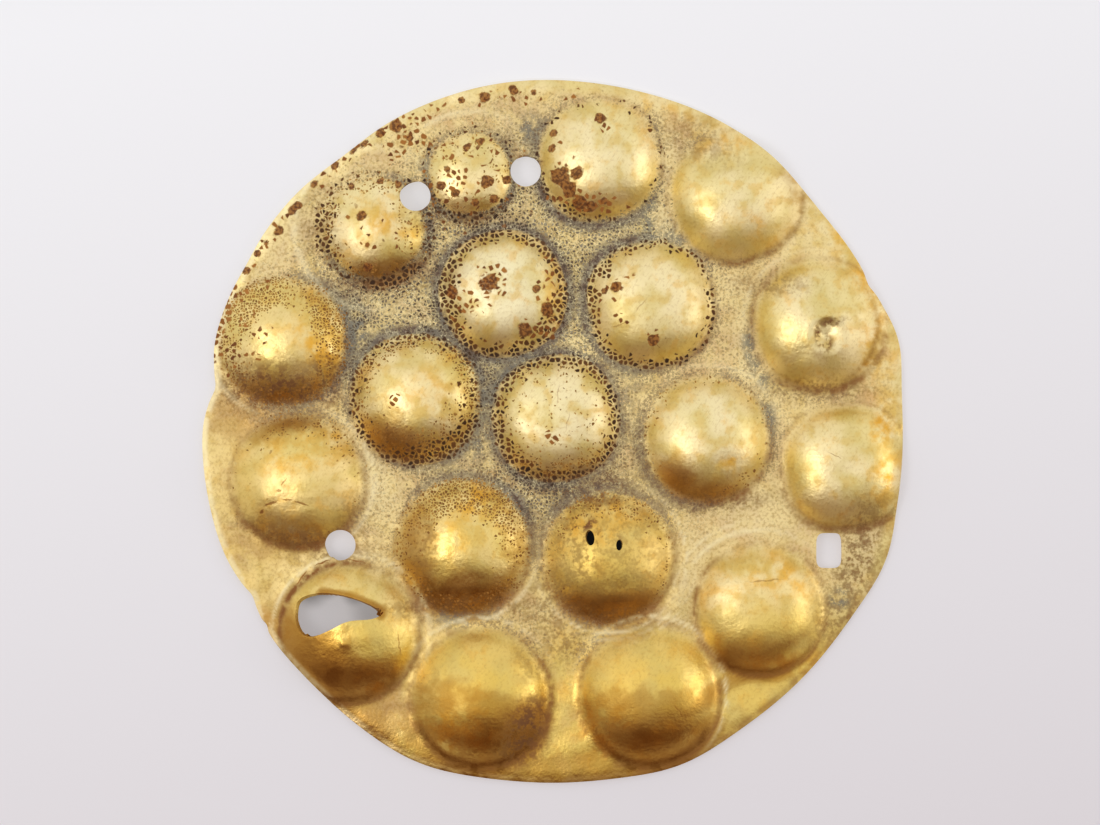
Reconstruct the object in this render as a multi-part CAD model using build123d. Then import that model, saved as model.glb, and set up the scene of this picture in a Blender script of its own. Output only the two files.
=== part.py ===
from build123d import *

import math
import os
from collections import namedtuple

# An old disc pendant: one piece of thin gold sheet, cut to a rough circle, with nineteen round
# bosses raised from the back in a ring of twelve, a ring of six and one in the middle. Thread
# holes are punched through it, and age has torn one boss, pricked another and dented a third.
# Origin: on the surface that the disc lies on, under the middle. +Z is the front, +Y the top.

# Driving dimensions, in millimetres
disc_radius = 30.0  # the circle that the battered edge wavers about
sheet = 0.4  # thickness of the gold
crown = 1.2  # rise of the plain field from its edge to its middle
boss_radius = 5.5  # foot circle of an ordinary boss
boss_height = 2.6  # rise of an ordinary boss above the field
foot_fillet = 0.7  # hollow curve where a boss leaves the field
foot_sink = 0.012  # how far that curve dips under the field, for the fine crease round a boss
thread_hole_radius = 1.3
punch_ledge = 0.35  # flat ring that the punch leaves round a thread hole
square_hole_width = 2.2
square_hole_length = 3.0
square_hole_corner = 0.5
prick_length = 1.3
prick_width = 0.75
tear_length = 7.4
tear_width = 3.7
dent_radius = 1.8  # of the round tip that made the dent
dent_depth = 0.6
trim_margin = 4.0  # how far the blank reaches past the circle before its edge is cut

# Columns: x and y are shares of disc_radius, foot is a share of boss_radius, rise of boss_height
Boss = namedtuple("Boss", "x y foot rise")
CENTRE_BOSS = [Boss(0.01, 0.04, 0.95, 0.92)]
INNER_BOSSES = [
    Boss(-0.14, 0.395, 0.96, 0.94),
    Boss(0.28, 0.365, 0.97, 0.94),
    Boss(0.44, -0.02, 0.98, 0.97),
    Boss(0.16, -0.355, 1.01, 1.03),
    Boss(-0.255, -0.325, 1.04, 1.03),
    Boss(-0.39, 0.095, 1.00, 1.00),
]
OUTER_BOSSES = [
    Boss(-0.235, 0.735, 0.72, 0.62),
    Boss(0.135, 0.775, 0.95, 0.92),
    Boss(0.52, 0.67, 1.01, 1.00),
    Boss(0.76, 0.305, 1.03, 1.03),
    Boss(0.835, -0.10, 0.97, 0.92),
    Boss(0.59, -0.505, 1.01, 0.97),
    Boss(0.275, -0.75, 1.09, 1.08),
    Boss(-0.205, -0.755, 1.09, 1.08),
    Boss(-0.58, -0.57, 1.09, 1.00),
    Boss(-0.725, -0.14, 1.04, 1.00),
    Boss(-0.765, 0.26, 0.98, 1.00),
    Boss(-0.51, 0.58, 0.93, 0.90),
]
BOSSES = CENTRE_BOSS + INNER_BOSSES + OUTER_BOSSES
PRICKED_BOSS = INNER_BOSSES[3]
DENTED_BOSS = OUTER_BOSSES[3]
TORN_BOSS = OUTER_BOSSES[8]

# Swells and nicks of the edge, anticlockwise from +X. Columns: where each lies and how far it
# spreads, in degrees, and how far it reaches out, or in where it is below 0, of disc_radius
Swell = namedtuple("Swell", "at spread reach")
SWELLS = [
    Swell(15, 6.5, 0.022),
    Swell(40, 8, -0.010),
    Swell(60, 16, 0.009),
    Swell(98, 16, 0.007),
    Swell(127, 7, -0.011),
    Swell(172, 5, -0.026),
    Swell(-151, 6, -0.022),
    Swell(-136, 8, -0.009),
    Swell(-112, 10, 0.017),
    Swell(-69, 9, 0.017),
    Swell(-21, 8, 0.019),
]
EDGE_STEP = 4  # degrees between the points that the edge's arcs run through

# Thread holes. Columns: x and y are shares of disc_radius
ThreadHole = namedtuple("ThreadHole", "x y")
THREAD_HOLES = [
    ThreadHole(-0.39, 0.673),
    ThreadHole(-0.076, 0.744),
    ThreadHole(-0.604, -0.321),
]
SQUARE_HOLE = ThreadHole(0.789, -0.337)

# Pricks through a boss. Columns: x and y are shares of the boss's foot circle, size is a share
# of prick_length and prick_width, and lean is the angle from upright, in degrees
Prick = namedtuple("Prick", "x y size lean")
PRICKS = [
    Prick(-0.29, 0.31, 1.0, 8),
    Prick(0.16, 0.20, 0.72, -4),
]

# The dent's place, in shares of the dented boss's foot circle
DENT_X, DENT_Y = 0.12, -0.17

# Outline of the tear, from its left end over the top. Columns: along is a share of tear_length
# and across of tear_width, from the tear's middle
TearPoint = namedtuple("TearPoint", "along across")
TEAR = [
    TearPoint(-0.50, -0.05),
    TearPoint(-0.46, 0.33),
    TearPoint(-0.24, 0.50),
    TearPoint(0.05, 0.46),
    TearPoint(0.34, 0.27),
    TearPoint(0.50, 0.06),
    TearPoint(0.40, -0.08),
    TearPoint(0.12, -0.14),
    TearPoint(-0.08, -0.33),
    TearPoint(-0.30, -0.50),
    TearPoint(-0.44, -0.40),
]
TEAR_X, TEAR_Y = -0.14, 0.26  # the tear's middle, in shares of the torn boss's foot circle

# The field is part of a great hollow ball, whose centre lies this far under the field's middle
field_radius = (disc_radius**2 + crown**2) / (2 * crown)

# The sheet is what is left between two blocks, one under its front face and one under its back
blank_radius = disc_radius + trim_margin
blank_drop = field_radius - math.sqrt(field_radius**2 - blank_radius**2)
boss_root = foot_sink + 2 * sheet  # how far a boss's form reaches into its block
block_depth = blank_drop + sheet + 2 * boss_root
tallest = max(boss.rise for boss in BOSSES) * boss_height
cut_reach = 2 * (tallest + block_depth)  # longer than any cut through the sheet has to be


def ball_point(radius, angle):
    """Point of the field's ball in the XZ plane, with the field's middle at height 0."""
    return (radius * math.sin(angle), radius * math.cos(angle) - field_radius)


def field_height(x, y):
    """Height of the field's front face over its own middle, so 0 or less."""
    return math.sqrt(field_radius**2 - x**2 - y**2) - field_radius


def on_field(x, y):
    """Plane on the field at x, y, square to the field there."""
    height = field_height(x, y)
    return Plane(origin=(x, y, height), z_dir=(x, y, height + field_radius))


def arc_middle(centre, radius, start, end):
    """Middle of the short arc about centre from the direction of start to that of end."""
    x = start[0] + end[0] - 2 * centre[0]
    z = start[1] + end[1] - 2 * centre[1]
    length = math.hypot(x, z)
    return (centre[0] + radius * x / length, centre[1] + radius * z / length)


def field_form(inset, depth):
    """Solid under the plain field's front face, or under its back face where inset is the sheet."""
    edge_angle = math.asin(blank_radius / field_radius)
    top, middle, rim = [ball_point(field_radius - inset, part * edge_angle) for part in (0, 0.5, 1)]
    profile = ThreePointArc(top, middle, rim) + Polyline(rim, (rim[0], -depth), (0, -depth), top)
    return revolve(make_face(Plane.XZ * profile), Axis.Z)


def boss_crown(foot, rise):
    """Ball that a boss's top is part of, as its radius and centre height, and its foot arc's centre.

    The ball is the one that touches the foot's hollow curve.
    """
    foot_angle = math.asin(foot / field_radius)
    fillet_x, fillet_z = ball_point(field_radius - foot_sink + foot_fillet, foot_angle)
    gap = rise - fillet_z
    ball = (fillet_x**2 + gap**2 - foot_fillet**2) / (2 * (gap + foot_fillet))
    return ball, rise - ball, (fillet_x, fillet_z)


def boss_form(foot, rise, inset):
    """Solid under a boss's front face, or under its back face where inset is the thickness.

    Its profile is the top's arc, the hollow foot arc and a root inside the block.
    """
    ball, centre_z, fillet = boss_crown(foot, rise)
    centre = (0, centre_z)
    run = math.hypot(fillet[0], fillet[1] - centre_z)
    top_radius = ball - inset
    peak = (0, centre_z + top_radius)
    flank = (
        top_radius * fillet[0] / run,
        centre_z + top_radius * (fillet[1] - centre_z) / run,
    )
    toe = ball_point(field_radius - foot_sink - inset, math.asin(foot / field_radius))
    shoulder = arc_middle(centre, top_radius, peak, flank)
    instep = arc_middle(fillet, foot_fillet + inset, flank, toe)
    profile = (
        ThreePointArc(peak, shoulder, flank)
        + ThreePointArc(flank, instep, toe)
        + Polyline(toe, (toe[0] - boss_root, toe[1] - boss_root), (0, toe[1] - boss_root), peak)
    )
    return revolve(make_face(Plane.XZ * profile), Axis.Z)


def placed_boss(boss, inset):
    """A boss's form, standing on the field where the table puts it."""
    form = boss_form(boss.foot * boss_radius, boss.rise * boss_height, inset)
    return on_field(boss.x * disc_radius, boss.y * disc_radius) * form


def beside(boss, x, y):
    """Place on the disc, from shares of a boss's foot circle measured from the boss's middle."""
    foot = boss.foot * boss_radius
    return boss.x * disc_radius + x * foot, boss.y * disc_radius + y * foot


def punch_seat(hole, inset):
    """What a punch presses back into the field round a thread hole, for the front or the back."""
    seat_radius = thread_hole_radius + punch_ledge + inset
    place = on_field(hole.x * disc_radius, hole.y * disc_radius) * Pos(0, 0, -inset - foot_sink)
    return place * extrude(Circle(seat_radius), cut_reach)


def dent_tip(inset):
    """The round tip that dented a boss, larger by the sheet for the boss's back."""
    x, y = beside(DENTED_BOSS, DENT_X, DENT_Y)
    ball, centre_z, _ = boss_crown(DENTED_BOSS.foot * boss_radius, DENTED_BOSS.rise * boss_height)
    out = math.hypot(x - DENTED_BOSS.x * disc_radius, y - DENTED_BOSS.y * disc_radius)
    surface = centre_z + math.sqrt(ball**2 - out**2)
    base = field_height(DENTED_BOSS.x * disc_radius, DENTED_BOSS.y * disc_radius)
    return Pos(x, y, base + surface + dent_radius - dent_depth) * Sphere(dent_radius + inset)


def raised_form(inset, depth):
    """Solid under the whole worked front face, or under the back face where inset is the sheet."""
    bosses = [placed_boss(boss, inset) for boss in BOSSES]
    presses = [punch_seat(hole, inset) for hole in THREAD_HOLES] + [dent_tip(inset)]
    bosses = [boss.cut(*presses) for boss in bosses]
    form = field_form(inset, depth)
    for boss in bosses:
        form = form.fuse(boss)
    return form


def edge_reach(angle):
    """Distance of the cut edge from the middle, at an angle in degrees."""
    share = 1.0
    for swell in SWELLS:
        away = (angle - swell.at + 180) % 360 - 180
        share += swell.reach * math.exp(-((away / swell.spread) ** 2))
    return share * disc_radius


def edge_point(angle):
    """Point of the cut edge at an angle in degrees."""
    turn = math.radians(angle)
    reach = edge_reach(angle)
    return (reach * math.cos(turn), reach * math.sin(turn))


def edge_cutter():
    """Block with the disc's battered outline, a ring of short arcs."""
    arcs = []
    for start in range(0, 360, 2 * EDGE_STEP):
        ends = [edge_point(start + turn) for turn in (0, EDGE_STEP, 2 * EDGE_STEP)]
        arcs.append(ThreePointArc(*ends))
    return extrude(make_face(arcs), cut_reach, both=True)


def hole_cutters():
    """Everything that goes right through the sheet: punched holes, square hole, pricks, tear."""
    cutters = []
    for hole in THREAD_HOLES:
        place = Pos(hole.x * disc_radius, hole.y * disc_radius)
        cutters.append(place * extrude(Circle(thread_hole_radius), cut_reach, both=True))
    square = RectangleRounded(square_hole_width, square_hole_length, square_hole_corner)
    place = Pos(SQUARE_HOLE.x * disc_radius, SQUARE_HOLE.y * disc_radius)
    cutters.append(place * extrude(square, cut_reach, both=True))
    for prick in PRICKS:
        x, y = beside(PRICKED_BOSS, prick.x, prick.y)
        slit = Ellipse(prick.size * prick_width / 2, prick.size * prick_length / 2)
        cutters.append(Pos(x, y) * Rot(0, 0, prick.lean) * extrude(slit, cut_reach))
    x, y = beside(TORN_BOSS, TEAR_X, TEAR_Y)
    points = [(point.along * tear_length, point.across * tear_width) for point in TEAR]
    tear = make_face(Spline(*points, periodic=True))
    cutters.append(Pos(x, y) * extrude(tear, cut_reach, both=True))
    return cutters


def embossed_disc():
    """The whole sheet: raised, hollowed behind, cut to its edge and pierced."""
    disc = raised_form(0, block_depth) & edge_cutter()
    return disc.cut(raised_form(sheet, 2 * block_depth), *hole_cutters())


disc = embossed_disc()
box = disc.bounding_box()
disc = Pos(0, 0, -box.min.Z) * disc

os.makedirs("parts", exist_ok=True)
export_step(disc, "parts/embossed_disc.step")
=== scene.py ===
import math
from collections import namedtuple

import bmesh
import bpy
import numpy as np
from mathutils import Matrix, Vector


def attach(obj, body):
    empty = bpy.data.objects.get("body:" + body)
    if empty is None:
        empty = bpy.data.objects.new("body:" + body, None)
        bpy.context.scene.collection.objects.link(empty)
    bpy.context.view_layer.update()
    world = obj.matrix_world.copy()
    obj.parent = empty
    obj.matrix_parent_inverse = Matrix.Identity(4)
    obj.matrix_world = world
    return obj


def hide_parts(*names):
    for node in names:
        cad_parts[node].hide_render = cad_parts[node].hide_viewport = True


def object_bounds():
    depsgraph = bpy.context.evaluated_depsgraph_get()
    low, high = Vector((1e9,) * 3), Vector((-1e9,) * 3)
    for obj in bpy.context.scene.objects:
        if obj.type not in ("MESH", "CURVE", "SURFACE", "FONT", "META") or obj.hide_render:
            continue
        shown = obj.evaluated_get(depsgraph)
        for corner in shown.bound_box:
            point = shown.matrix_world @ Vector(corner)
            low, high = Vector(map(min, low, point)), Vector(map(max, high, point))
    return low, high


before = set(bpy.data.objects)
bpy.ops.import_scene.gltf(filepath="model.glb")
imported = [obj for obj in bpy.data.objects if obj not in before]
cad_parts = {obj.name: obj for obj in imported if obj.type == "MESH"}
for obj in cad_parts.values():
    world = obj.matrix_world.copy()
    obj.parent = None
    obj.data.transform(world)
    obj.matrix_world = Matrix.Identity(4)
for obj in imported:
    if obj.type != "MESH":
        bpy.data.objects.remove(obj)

solid_low, solid_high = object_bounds()
bpy.ops.object.select_all(action="DESELECT")


# The table and the light: a pale smooth table top, a white tent that is open low at the front, a
# broad lamp at the left and a small one low at the right. The camera looks straight down on the
# disc from arm's length.
MM = 0.001


def put_node(tree, kind, settings=None, **sockets):
    """A shader node with its settings and the plain values of its sockets."""
    made = tree.nodes.new(kind)
    for name, value in (settings or {}).items():
        setattr(made, name, value)
    for name, value in sockets.items():
        made.inputs[name.replace("_", " ")].default_value = value
    return made


def is_socket(value):
    """Whether a value comes from another node."""
    return isinstance(value, bpy.types.NodeSocket)


def feed(socket, value):
    """Links or sets one input of a node. A plain colour gets its alpha here."""
    if is_socket(value):
        socket.id_data.links.new(value, socket)
    elif value is not None:
        socket.default_value = (*value, 1) if socket.type == "RGBA" else value


def joined(made, *inputs):
    """Feeds the inputs of a node in order, and gives its first result."""
    for socket, value in zip(made.inputs, inputs):
        feed(socket, value)
    return made.outputs[0]


def mixed(share, under, over):
    """One colour laid over another."""
    made = put_node(share.id_data, "ShaderNodeMix", {"data_type": "RGBA"})
    for number, value in ((0, share), (6, under), (7, over)):
        feed(made.inputs[number], value)
    return made.outputs[2]


def vector_math(operation, *inputs):
    """The outputs of a Vector Math node."""
    made = put_node(inputs[0].id_data, "ShaderNodeVectorMath", {"operation": operation})
    joined(made, *inputs)
    return made.outputs


def scaled(vector, scale):
    """A colour or vector, times a number."""
    made = put_node(vector.id_data, "ShaderNodeVectorMath", {"operation": "SCALE"})
    feed(made.inputs["Scale"], scale)
    return joined(made, vector)


def graded(place, direction, start, end, first, last):
    """A colour that goes from first to last along a direction."""
    along = vector_math("DOT_PRODUCT", place, direction)["Value"]
    share = joined(put_node(place.id_data, "ShaderNodeMapRange"), along, start, end)
    return mixed(share, first, last)


def soft_step(value, low, high, below=0.0, above=1.0):
    """One value below low, another above high, and a soft step between."""
    made = put_node(value.id_data, "ShaderNodeMapRange", {"interpolation_type": "SMOOTHSTEP"})
    return joined(made, value, low, high, below, above)


def new_material(name):
    """An empty material, its Principled shader, and the place on the object."""
    material = bpy.data.materials.new(name)
    material.use_nodes = True
    tree = material.node_tree
    return material, tree.nodes["Principled BSDF"], put_node(tree, "ShaderNodeTexCoord").outputs["Object"]


# Where little light gets in under the disc: below the pricked boss and the tear's upper rim.
# Columns: x, y, the radius of the deep shade and of its end, in mm, and the light that is left
Shade = namedtuple("Shade", "x y inner outer left")
SHADES = [
    Shade(4.8, -10.6, 4.5, 5.5, 0.02),
    Shade(-18.2, -15.0, 3.4, 6.0, 0.78),
    Shade(-20.6, -13.6, 0.2, 1.9, 0.55),
    Shade(-15.6, -15.2, 0.4, 2.4, 0.75),
    Shade(-17.0, -13.8, 0.3, 1.4, 0.6),
    Shade(-19.2, -13.3, 0.3, 1.3, 0.65),
]

table_width = 3.0
lit_share = 0.6  # how light the table's own colour is beside its glow
bpy.ops.mesh.primitive_plane_add(size=table_width)
table_top = bpy.context.object
table_top.name = "table_top"
table_paint, table_shader, table_place = new_material("pale_table")
for name, value in (("Roughness", 0.65), ("Specular IOR Level", 0.2), ("Emission Strength", 0.9)):
    table_shader.inputs[name].default_value = value
# The table glows as if lit. Its glow and colour are painted lighter at the back and darker toward the
# front, with painted shade under the disc
upper_table, lower_table = (0.606, 0.604, 0.612), (0.490, 0.464, 0.474)
table_light = graded(table_place, (0.15, -0.99, 0.0), -0.04, 0.045, upper_table, lower_table)
for shade in SHADES:
    apart = vector_math("DISTANCE", table_place, (shade.x * MM, shade.y * MM, 0))["Value"]
    fading = soft_step(apart, shade.inner * MM, shade.outer * MM, shade.left, 1.0)
    table_light = scaled(table_light, fading)
feed(table_shader.inputs["Emission Color"], table_light)
feed(table_shader.inputs["Base Color"], scaled(table_light, lit_share))
table_top.data.materials.append(table_paint)

picture_width = 94.3 * MM  # what the photograph's long side takes in on the table
camera_height = 400 * MM
camera_data = bpy.data.cameras.new("camera")
camera_data.lens = camera_data.sensor_width * camera_height / picture_width
camera = bpy.data.objects.new("camera", camera_data)
camera.location = (-0.2 * MM, 1.7 * MM, camera_height)
bpy.context.collection.objects.link(camera)
bpy.context.scene.camera = camera
bpy.context.scene.view_settings.view_transform = "Standard"
bpy.context.scene.view_settings.use_curve_mapping = True
tone = bpy.context.scene.view_settings.curve_mapping
for dark, shown in ((0.08, 0.045), (0.30, 0.246)):
    tone.curves[3].points.new(dark, shown)
tone.update()

Lamp = namedtuple("Lamp", "name x y z width depth watts colour")
LAMPS = [
    Lamp("left_lamp", -0.31, -0.07, 0.52, 0.22, 0.22, 0.72, (1.0, 0.99, 0.96)),
    Lamp("right_lamp", 0.56, 0.0, 0.22, 0.12, 0.36, 0.36, (1.0, 0.98, 0.95)),
]
for lamp in LAMPS:
    bpy.ops.object.light_add(type="AREA", location=(lamp.x, lamp.y, lamp.z))
    light = bpy.context.object
    light.name = lamp.name
    light.data.shape = "RECTANGLE"
    light.data.size = lamp.depth
    light.data.size_y = lamp.width
    light.data.energy = lamp.watts
    light.data.color = lamp.colour
    light.rotation_euler = (-light.location).to_track_quat("-Z", "Y").to_euler()
    light.visible_camera = False

tent = bpy.data.worlds.new("light_tent")
bpy.context.scene.world = tent
tent.use_nodes = True
tent_direction = put_node(tent.node_tree, "ShaderNodeTexCoord").outputs["Generated"]
tent_cloth, tent_opening = (0.93, 0.94, 1.0), (0.19, 0.085, 0.016)
tent_colour = graded(tent_direction, (-0.12, -1.0, -0.10), 0.18, 0.54, tent_cloth, tent_opening)
tent_glow = tent.node_tree.nodes["Background"]
tent_glow.inputs["Strength"].default_value = 1.01
feed(tent_glow.inputs["Color"], tent_colour)


# The disc: one piece of sheet gold, a rough circle cut with shears. Nineteen bosses are pushed up
# from its back, a ring of twelve, a ring of six and one in the middle, and it is punched for
# threads. It starts as a square net that is laid out on the round plan.
disc_radius = 30 * MM
sheet = 0.4 * MM
crown = 1.2 * MM
net_cells = 202

# Swells and nicks of the edge, anticlockwise from +X. Columns: where each lies and how far it
# spreads, in degrees, and how far it reaches out, or in where it is below 0, of disc_radius
Swell = namedtuple("Swell", "at spread reach")
SWELLS = [
    Swell(15, 6.5, 0.022),
    Swell(25, 1.6, -0.007),
    Swell(40, 8, -0.010),
    Swell(60, 16, 0.009),
    Swell(98, 16, 0.007),
    Swell(127, 7, -0.011),
    Swell(151, 4, -0.004),
    Swell(172, 5, -0.024),
    Swell(172.5, 1.6, -0.006),
    Swell(-151, 6, -0.019),
    Swell(-151.5, 1.5, -0.006),
    Swell(-146, 0.8, -0.006),
    Swell(-136, 8, -0.009),
    Swell(-112, 10, 0.017),
    Swell(-69, 9, 0.017),
    Swell(-21, 8, 0.019),
]


def bearing_of(x, y):
    """Bearing of a place from the middle, in degrees."""
    return np.degrees(np.arctan2(y, x))


def bell(value):
    """1 at 0, falling softly to 0 at both sides."""
    return np.exp(-(value**2))


def facing(bearing, toward, spread):
    """1 toward a bearing in degrees, fading over spread to both sides."""
    return bell(((bearing - toward + 180) % 360 - 180) / spread)


def edge_share(bearing):
    """Reach of the cut edge at a bearing in degrees, as a share of disc_radius."""
    return sum((swell.reach * facing(bearing, swell.at, swell.spread) for swell in SWELLS), 1.0)


bpy.ops.mesh.primitive_grid_add(x_subdivisions=net_cells, y_subdivisions=net_cells, size=2)
disc = bpy.context.object
disc.name = "gold_disc"
net = disc.data


def net_places():
    """Places of the net's corners, one row each."""
    places = np.empty(len(net.vertices) * 3)
    net.vertices.foreach_get("co", places)
    return places.reshape(-1, 3)


def move_net(places):
    """Moves the net's corners to new places."""
    net.vertices.foreach_set("co", places.ravel())
    net.update()


places = net_places()
across, up = places[:, 0], places[:, 1]
plan_x = across * np.sqrt(1 - up**2 / 2)
plan_y = up * np.sqrt(1 - across**2 / 2)
swollen = 1 + (edge_share(bearing_of(plan_x, plan_y)) - 1) * np.hypot(plan_x, plan_y) ** 6
places[:, 0] = plan_x * swollen * disc_radius
places[:, 1] = plan_y * swollen * disc_radius
move_net(places)

# The bosses. Columns: x and y are shares of disc_radius, foot is a share of boss_radius and rise
# of boss_height. round is 2 for a ball's top and more for a flatter one, square is 2 for a round
# plan and more for a squarish one, and turn is how far that plan is turned, in degrees
boss_radius = 5.5 * MM
boss_height = 2.6 * MM
Boss = namedtuple("Boss", "x y foot rise round square turn")
CENTRE = Boss(0.01, 0.04, 0.95, 0.90, 3.0, 2.2, 10)
INNER = [
    Boss(-0.14, 0.395, 0.95, 0.92, 2.9, 2.15, 20),
    Boss(0.28, 0.365, 0.97, 0.94, 2.7, 2.3, 8),
    Boss(0.44, -0.02, 0.98, 0.97, 2.4, 2.1, 0),
    Boss(0.16, -0.355, 1.01, 1.03, 2.1, 2.0, 0),
    Boss(-0.255, -0.325, 1.04, 1.03, 2.1, 2.0, 0),
    Boss(-0.39, 0.095, 1.00, 1.00, 2.3, 2.1, 0),
]
OUTER = [
    Boss(-0.235, 0.735, 0.72, 0.62, 2.5, 2.4, 10),
    Boss(0.135, 0.775, 0.95, 0.92, 2.5, 2.2, 10),
    Boss(0.52, 0.67, 1.01, 1.00, 2.4, 2.2, 25),
    Boss(0.76, 0.305, 1.03, 1.03, 2.4, 2.1, 0),
    Boss(0.835, -0.10, 0.97, 0.92, 2.7, 2.5, 5),
    Boss(0.59, -0.505, 1.01, 0.97, 2.5, 2.1, 0),
    Boss(0.275, -0.75, 1.09, 1.08, 2.1, 2.1, 20),
    Boss(-0.205, -0.755, 1.09, 1.08, 2.1, 2.0, 0),
    Boss(-0.58, -0.57, 1.09, 1.00, 2.3, 2.0, 0),
    Boss(-0.725, -0.14, 1.04, 1.00, 2.3, 2.0, 0),
    Boss(-0.765, 0.26, 0.98, 1.00, 2.1, 2.1, 0),
    Boss(-0.505, 0.58, 0.90, 0.90, 2.1, 2.1, 30),
]
BOSSES = [CENTRE, *INNER, *OUTER]
PRICKED_BOSS = INNER[3]
DENTED_BOSS = OUTER[3]
TORN_BOSS = OUTER[8]
DIRTY_BOSSES = OUTER[0], OUTER[11]


def boss_place(boss, x=0.0, y=0.0):
    """A place beside a boss's middle, from shares of its foot circle, in metres on the plan."""
    foot = boss.foot * boss_radius
    return boss.x * disc_radius + x * foot, boss.y * disc_radius + y * foot


# The holes. Thread holes are round and punched, one hole is four-sided, two are pricks through a
# boss and one is a tear. Columns: x and y are shares of disc_radius, or of a boss's foot circle
thread_hole_radius = 1.3 * MM
square_hole_width = 2.2 * MM
square_hole_length = 3.0 * MM
square_hole_power = 4.5
prick_length = 1.3 * MM
prick_width = 0.75 * MM
tear_length = 7.4 * MM
tear_width = 3.7 * MM
tear_at = -0.14, 0.26
dent_at = 0.12, -0.14
dent_radius = 1.55 * MM
outline_steps = 180
Hole = namedtuple("Hole", "x y")
THREAD_HOLES = [
    Hole(-0.39, 0.673),
    Hole(-0.076, 0.744),
    Hole(-0.604, -0.321),
]
SQUARE_HOLE = Hole(0.789, -0.337)
Prick = namedtuple("Prick", "x y size lean")
PRICKS = [
    Prick(-0.29, 0.31, 1.0, 8),
    Prick(0.16, 0.20, 0.72, -4),
]
TearPoint = namedtuple("TearPoint", "along across")
TEAR = [
    TearPoint(-0.50, -0.05),
    TearPoint(-0.46, 0.33),
    TearPoint(-0.24, 0.50),
    TearPoint(0.05, 0.46),
    TearPoint(0.34, 0.27),
    TearPoint(0.50, 0.06),
    TearPoint(0.40, -0.08),
    TearPoint(0.12, -0.14),
    TearPoint(-0.08, -0.33),
    TearPoint(-0.30, -0.50),
    TearPoint(-0.44, -0.40),
]


def leaned(x, y, lean):
    """Places along and beside a line at a bearing in degrees."""
    cosine, sine = math.cos(math.radians(lean)), math.sin(math.radians(lean))
    return x * cosine + y * sine, y * cosine - x * sine


def oval(x, y, half_width, half_length, lean=0.0, power=2.0):
    """Outline of an ellipse, or of a rounded rectangle where power is more than 2."""
    turn = np.linspace(0, 2 * math.pi, outline_steps, endpoint=False)
    reach = (np.abs(np.cos(turn)) ** power + np.abs(np.sin(turn)) ** power) ** (-1 / power)
    flat = leaned(half_width * reach * np.cos(turn), half_length * reach * np.sin(turn), -lean)
    return np.stack(flat, 1) + (x, y)


def tear_outline():
    """Smooth closed curve through the tear's points."""
    knots = np.array([(p.along * tear_length, p.across * tear_width) for p in TEAR])
    before, after, last = np.roll(knots, 1, 0), np.roll(knots, -1, 0), np.roll(knots, -2, 0)
    runs = []
    for share in np.linspace(0, 1, outline_steps // len(TEAR), endpoint=False):
        bend = (
            2 * knots
            + (after - before) * share
            + (2 * before - 5 * knots + 4 * after - last) * share**2
            + (3 * knots - before - 3 * after + last) * share**3
        )
        runs.append(bend / 2)
    return np.stack(runs, 1).reshape(-1, 2) + boss_place(TORN_BOSS, *tear_at)


def holes():
    """Outlines of all that goes through the sheet."""
    for hole in THREAD_HOLES:
        yield oval(hole.x * disc_radius, hole.y * disc_radius, thread_hole_radius, thread_hole_radius)
    x, y = SQUARE_HOLE.x * disc_radius, SQUARE_HOLE.y * disc_radius
    yield oval(x, y, square_hole_width / 2, square_hole_length / 2, power=square_hole_power)
    for prick in PRICKS:
        x, y = boss_place(PRICKED_BOSS, prick.x, prick.y)
        yield oval(x, y, prick.size * prick_width / 2, prick.size * prick_length / 2, prick.lean)
    yield tear_outline()


def inside(outline, x, y):
    """Which of the places lie within a closed outline."""
    odd = np.zeros(len(x), bool)
    for (x1, y1), (x2, y2) in zip(outline, np.roll(outline, -1, 0)):
        crosses = (y1 > y) != (y2 > y)
        odd ^= crosses & (x < (x2 - x1) * (y - y1) / (y2 - y1 + 1e-20) + x1)
    return odd


def edit_faces(chosen):
    """Goes into edit mode with only these faces selected."""
    bpy.ops.object.mode_set(mode="EDIT")
    bpy.ops.mesh.select_mode(type="FACE")
    bpy.ops.mesh.select_all(action="DESELECT")
    bpy.ops.object.mode_set(mode="OBJECT")
    net.polygons.foreach_set("select", chosen)
    bpy.ops.object.mode_set(mode="EDIT")


def face_centres():
    """Middles of the net's faces, on the plan."""
    centres = np.empty(len(net.polygons) * 3)
    net.polygons.foreach_get("center", centres)
    return centres.reshape(-1, 3)[:, :2].T


def anticlockwise(ring):
    """Whether a closed ring of places runs anticlockwise."""
    after = np.roll(ring, -1, 0)
    return (ring[:, 0] * after[:, 1] - ring[:, 1] * after[:, 0]).sum() > 0


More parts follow.
